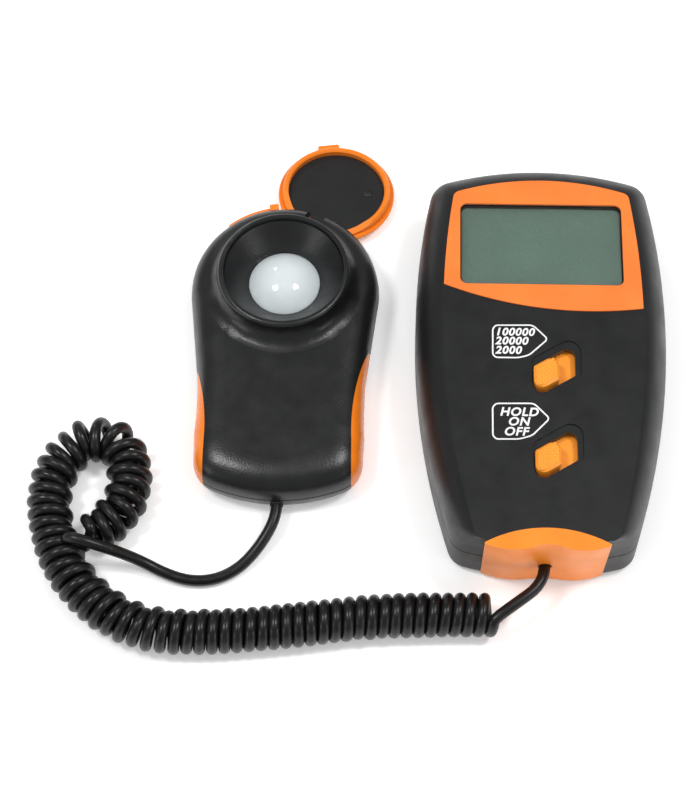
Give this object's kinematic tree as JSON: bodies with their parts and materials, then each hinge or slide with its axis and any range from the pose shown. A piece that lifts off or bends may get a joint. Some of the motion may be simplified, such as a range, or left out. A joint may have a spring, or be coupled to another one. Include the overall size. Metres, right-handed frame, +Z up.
{
  "type": "light meter",
  "caption": "Hand-held light meter with display and two slide switches, a separate light probe with a white dome and hinged cap, and a curly cord.",
  "frame": {"origin": "centre of the meter's back face, on the surface that the meter and the probe lie on", "axes": "+X to the meter's right, +Y towards its display end, +Z up out of its face"},
  "size_m": [0.1755, 0.1667, 0.03],
  "materials": {
    "case_black": "finely textured black ABS",
    "orange_panel": "satin orange panel",
    "orange_plastic": "smooth orange plastic",
    "clear_window": "clear acrylic",
    "display": "grey-green liquid crystal glass",
    "black_plastic": "satin black plastic",
    "rubber": "black rubber",
    "cord_jacket": "black flexible jacket",
    "board_green": "green printed circuit board",
    "steel": "plated steel",
    "trimmer_blue": "blue plastic",
    "milky_dome": "white translucent diffuser"
  },
  "bodies": {
    "root": {"meter_front_shell": "case_black", "meter_rear_shell": "case_black", "display_bezel": "orange_panel", "display_window": "clear_window", "display_glass": "display", "display_frame": "black_plastic", "contact_strip_upper": "rubber", "contact_strip_lower": "rubber", "main_board": "board_green", "board_screws": "steel", "case_screws": "steel", "range_switch_body": "steel", "power_switch_body": "steel", "converter_chip": "black_plastic", "amplifier_chip": "black_plastic", "trimmers": "trimmer_blue", "capacitors": "black_plastic", "battery": "steel", "battery_snap": "rubber", "battery_wires": "cord_jacket", "battery_foam": "rubber", "cable_guard": "orange_plastic", "meter_strain_relief": "rubber", "cord_meter_lead": "cord_jacket", "cord_coil_run": "cord_jacket", "cord_coil_bend": "cord_jacket", "cord_coil_loop": "cord_jacket", "cord_probe_lead": "cord_jacket"},
    "range_knob": {"range_switch_knob": "orange_plastic", "range_switch_actuator": "black_plastic"},
    "power_knob": {"power_switch_knob": "orange_plastic", "power_switch_actuator": "black_plastic"},
    "door": {"battery_door": "case_black"},
    "probe": {"probe_top_shell": "case_black", "probe_bottom_shell": "case_black", "left_grip": "orange_plastic", "right_grip": "orange_plastic", "hinge_bracket_left": "orange_plastic", "hinge_bracket_right": "orange_plastic", "hinge_pin": "steel", "dish_cone": "black_plastic", "diffuser_dome": "milky_dome", "colour_filter": "clear_window", "photodiode": "steel", "sensor_board": "board_green", "sensor_screws": "steel", "probe_screws": "steel", "probe_strain_relief": "rubber"},
    "cap": {"cap_shell": "orange_plastic", "cap_liner": "black_plastic"}
  },
  "joints": [
    {"name": "range_switch_slide", "type": "slide", "parent": "root", "child": "range_knob", "axis": [0.848, 0.5299, 0], "range_m": [0, 0.0051]},
    {"name": "power_switch_slide", "type": "slide", "parent": "root", "child": "power_knob", "axis": [0.848, 0.5299, 0], "range_m": [0, 0.0051]},
    {"name": "battery_door_slide", "type": "slide", "parent": "root", "child": "door", "axis": [0, -1, 0], "range_m": [0, 0.005]},
    {"name": "probe_lift", "type": "slide", "parent": "root", "child": "probe", "axis": [0, 0, 1], "range_m": [0, 0.05]},
    {"name": "cap_hinge", "type": "hinge", "parent": "probe", "child": "cap", "pos_m": [-0.06564, 0.04512, 0.0134], "axis": [0.9397, -0.342, 0], "range_deg": [0, 184.6]}
  ]
}
